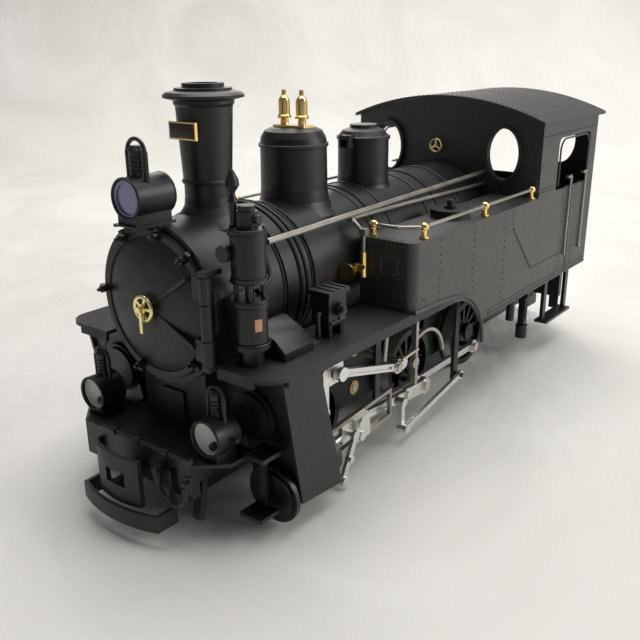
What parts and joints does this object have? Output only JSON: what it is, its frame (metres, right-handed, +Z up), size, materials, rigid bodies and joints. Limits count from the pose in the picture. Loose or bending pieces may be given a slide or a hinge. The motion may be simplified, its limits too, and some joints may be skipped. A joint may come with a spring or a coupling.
{
  "type": "live steam tank locomotive",
  "caption": "Black model tank steam locomotive for narrow track, with turning wheels, coupled rods, sliding crossheads, a geared rack wheel, an opening smokebox door and a lift-off cab roof.",
  "frame": {"origin": "on the floor under the middle of the locomotive, z = 0 at the bottom of the wheel flanges", "axes": "+X forward towards the chimney end, +Y to the locomotive's left side, +Z up"},
  "size_m": [0.352, 0.1202, 0.1654],
  "materials": {
    "black_paint": "satin black enamel",
    "dark_iron": "blackened iron, lightly worn",
    "bright_steel": "plain machined nickel steel",
    "brass": "turned brass, lightly tarnished",
    "red_paint": "red enamel",
    "lamp_glass": "faint violet tinted lens"
  },
  "bodies": {
    "locomotive": {"main_frame": "black_paint", "axle_bushes": "brass", "front_platform": "black_paint", "rear_beam": "black_paint", "coupling_hoops": "dark_iron", "running_boards": "black_paint", "smokebox": "black_paint", "chimney": "black_paint", "chimney_plate": "brass", "boiler": "black_paint", "steam_dome": "black_paint", "safety_valves": "brass", "sand_dome": "black_paint", "left_tank": "black_paint", "right_tank": "black_paint", "cab_body": "black_paint", "backhead": "black_paint", "burner": "brass", "air_pump": "black_paint", "boiler_pipes": "bright_steel", "feed_valve": "brass", "handrails": "bright_steel", "handrail_balls": "brass", "lubricator": "black_paint", "headlamps": "black_paint", "lamp_lenses": "lamp_glass", "cylinders": "black_paint", "cylinder_covers": "black_paint", "slide_bars": "bright_steel", "motion_brackets": "bright_steel", "steps": "black_paint", "brake_pipes": "dark_iron"},
    "driving_wheelset": {"driving_wheelset": "black_paint"},
    "front_wheelset": {"front_wheelset": "black_paint"},
    "rear_wheelset": {"rear_wheelset": "black_paint"},
    "coupling_rod_left": {"coupling_rod_left": "bright_steel"},
    "coupling_rod_right": {"coupling_rod_right": "bright_steel"},
    "main_rod_left": {"main_rod_left": "bright_steel"},
    "main_rod_right": {"main_rod_right": "bright_steel"},
    "rack_shaft": {"rack_shaft": "bright_steel"},
    "rack_wheel": {"rack_wheel": "bright_steel"},
    "upper_rod_left": {"upper_rod_left": "bright_steel"},
    "upper_rod_right": {"upper_rod_right": "bright_steel"},
    "crosshead_left": {"crosshead_left": "bright_steel"},
    "crosshead_right": {"crosshead_right": "bright_steel"},
    "upper_crosshead_left": {"upper_crosshead_left": "bright_steel"},
    "upper_crosshead_right": {"upper_crosshead_right": "bright_steel"},
    "smokebox_door": {"smokebox_door": "black_paint", "door_dogs": "black_paint"},
    "door_handwheel": {"door_handwheel": "brass"},
    "cab_roof": {"cab_roof": "black_paint"},
    "front_buffer": {"front_buffer": "dark_iron"},
    "rear_buffer": {"rear_buffer": "dark_iron"},
    "sand_dome_lid": {"sand_dome_lid": "black_paint"},
    "left_filler_lid": {"left_filler_lid": "black_paint"},
    "right_filler_lid": {"right_filler_lid": "black_paint"},
    "valve_links_left": {"valve_links_left": "bright_steel"},
    "valve_links_right": {"valve_links_right": "bright_steel"},
    "cab_handwheel": {"cab_handwheel": "brass"},
    "regulator_lever": {"regulator_lever": "red_paint"}
  },
  "joints": [
    {"name": "driving_wheels_turn", "type": "hinge", "parent": "locomotive", "child": "driving_wheelset", "pos_m": [0.005, 0, 0.0206], "axis": [0, 1, 0], "continuous": true},
    {"name": "front_wheels_turn", "type": "hinge", "parent": "locomotive", "child": "front_wheelset", "pos_m": [0.086, 0, 0.0206], "axis": [0, 1, 0], "continuous": true},
    {"name": "rear_wheels_turn", "type": "hinge", "parent": "locomotive", "child": "rear_wheelset", "pos_m": [-0.058, 0, 0.0206], "axis": [0, 1, 0], "continuous": true},
    {"name": "coupling_rod_left_pin", "type": "hinge", "parent": "driving_wheelset", "child": "coupling_rod_left", "pos_m": [0.01406, 0.035, 0.01637], "axis": [0, 1, 0], "continuous": true},
    {"name": "coupling_rod_right_pin", "type": "hinge", "parent": "driving_wheelset", "child": "coupling_rod_right", "pos_m": [0.00923, -0.035, 0.02966], "axis": [0, 1, 0], "continuous": true},
    {"name": "main_rod_left_pin", "type": "hinge", "parent": "driving_wheelset", "child": "main_rod_left", "pos_m": [0.01406, 0.041, 0.01637], "axis": [0, 1, 0], "continuous": true},
    {"name": "main_rod_right_pin", "type": "hinge", "parent": "driving_wheelset", "child": "main_rod_right", "pos_m": [0.00923, -0.041, 0.02966], "axis": [0, 1, 0], "continuous": true},
    {"name": "rack_shaft_turn", "type": "hinge", "parent": "locomotive", "child": "rack_shaft", "pos_m": [0.042, 0, 0.039], "axis": [0, 1, 0], "continuous": true},
    {"name": "rack_wheel_turn", "type": "hinge", "parent": "locomotive", "child": "rack_wheel", "pos_m": [0.042, 0, 0.0187], "axis": [0, 1, 0], "continuous": true},
    {"name": "upper_rod_left_pin", "type": "hinge", "parent": "rack_shaft", "child": "upper_rod_left", "pos_m": [0.05089, 0.048, 0.04041], "axis": [0, 1, 0], "continuous": true},
    {"name": "upper_rod_right_pin", "type": "hinge", "parent": "rack_shaft", "child": "upper_rod_right", "pos_m": [0.04059, -0.048, 0.04789], "axis": [0, 1, 0], "continuous": true},
    {"name": "crosshead_left_slide", "type": "slide", "parent": "locomotive", "child": "crosshead_left", "axis": [0.9976, 0, -0.0698], "range_m": [-0.019, 0.0009]},
    {"name": "crosshead_right_slide", "type": "slide", "parent": "locomotive", "child": "crosshead_right", "axis": [0.9976, 0, -0.0698], "range_m": [-0.0142, 0.0057]},
    {"name": "upper_crosshead_left_slide", "type": "slide", "parent": "locomotive", "child": "upper_crosshead_left", "axis": [0.9976, 0, -0.0698], "range_m": [-0.0178, 0.0001]},
    {"name": "upper_crosshead_right_slide", "type": "slide", "parent": "locomotive", "child": "upper_crosshead_right", "axis": [0.9976, 0, -0.0698], "range_m": [-0.0075, 0.0103]},
    {"name": "smokebox_door_hinge", "type": "hinge", "parent": "locomotive", "child": "smokebox_door", "pos_m": [0.1493, 0.0305, 0.086], "axis": [0, 0, 1], "range_deg": [0, 100]},
    {"name": "door_handwheel_turn", "type": "hinge", "parent": "smokebox_door", "child": "door_handwheel", "pos_m": [0.1522, 0, 0.086], "axis": [1, 0, 0], "continuous": true},
    {"name": "cab_roof_lift", "type": "slide", "parent": "locomotive", "child": "cab_roof", "axis": [0, 0, 1], "range_m": [0, 0.04]},
    {"name": "front_buffer_slide", "type": "slide", "parent": "locomotive", "child": "front_buffer", "axis": [-1, 0, 0], "range_m": [0, 0.003], "stiffness_N_per_m": 800},
    {"name": "rear_buffer_slide", "type": "slide", "parent": "locomotive", "child": "rear_buffer", "axis": [1, 0, 0], "range_m": [0, 0.003], "stiffness_N_per_m": 800},
    {"name": "sand_dome_lid_hinge", "type": "hinge", "parent": "locomotive", "child": "sand_dome_lid", "pos_m": [0.0242, 0, 0.1366], "axis": [0, 1, 0], "range_deg": [0, 100]},
    {"name": "left_filler_lid_hinge", "type": "hinge", "parent": "locomotive", "child": "left_filler_lid", "pos_m": [-0.0159, 0.042, 0.1018], "axis": [0, -1, 0], "range_deg": [0, 100]},
    {"name": "right_filler_lid_hinge", "type": "hinge", "parent": "locomotive", "child": "right_filler_lid", "pos_m": [-0.0159, -0.042, 0.1018], "axis": [0, -1, 0], "range_deg": [0, 100]},
    {"name": "valve_links_left_hinge", "type": "hinge", "parent": "locomotive", "child": "valve_links_left", "pos_m": [-0.0066, 0.05, 0.0172], "axis": [0, 1, 0], "range_deg": [-6, 6]},
    {"name": "valve_links_right_hinge", "type": "hinge", "parent": "locomotive", "child": "valve_links_right", "pos_m": [-0.0066, -0.05, 0.0172], "axis": [0, 1, 0], "range_deg": [-6, 6]},
    {"name": "cab_handwheel_turn", "type": "hinge", "parent": "locomotive", "child": "cab_handwheel", "pos_m": [-0.069, -0.0038, 0.1237], "axis": [1, 0, 0], "continuous": true},
    {"name": "regulator_lever_hinge", "type": "hinge", "parent": "locomotive", "child": "regulator_lever", "pos_m": [-0.08, 0, 0.098], "axis": [1, 0, 0], "range_deg": [-35, 35]}
  ],
  "couplings": [
    {"joint": "front_wheels_turn", "follows": "driving_wheels_turn", "ratio": 1},
    {"joint": "rear_wheels_turn", "follows": "driving_wheels_turn", "ratio": 1},
    {"joint": "coupling_rod_left_pin", "follows": "driving_wheels_turn", "ratio": -1},
    {"joint": "coupling_rod_right_pin", "follows": "driving_wheels_turn", "ratio": -1},
    {"joint": "main_rod_left_pin", "follows": "driving_wheels_turn", "ratio": -1},
    {"joint": "main_rod_right_pin", "follows": "driving_wheels_turn", "ratio": -1},
    {"joint": "rack_shaft_turn", "follows": "rack_wheel_turn", "ratio": -2.3333},
    {"joint": "upper_rod_left_pin", "follows": "rack_wheel_turn", "ratio": 2.3333},
    {"joint": "upper_rod_right_pin", "follows": "rack_wheel_turn", "ratio": 2.3333}
  ]
}
